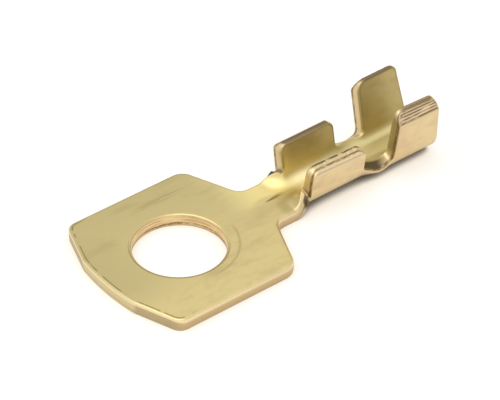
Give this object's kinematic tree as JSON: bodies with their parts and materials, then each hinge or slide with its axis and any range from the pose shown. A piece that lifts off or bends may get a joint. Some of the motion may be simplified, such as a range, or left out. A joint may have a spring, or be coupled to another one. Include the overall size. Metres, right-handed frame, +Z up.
{
  "type": "ring terminal",
  "caption": "Uncrimped open-barrel ring terminal stamped from brass sheet: a flat tongue with a stud hole, a curled neck, and folded wings for the conductor and the insulation.",
  "frame": {"origin": "centre of the stud hole on the underside of the tongue", "axes": "+X along the wire, from the tongue to the insulation wings; +Y across the tongue; +Z up, the way the wings stand"},
  "size_m": [0.0272, 0.0128, 0.0055],
  "materials": {
    "brass": "plain rolled sheet, satin, with bright rolled edges and light smudges"
  },
  "bodies": {
    "root": {"ring_terminal": "brass"}
  },
  "joints": []
}
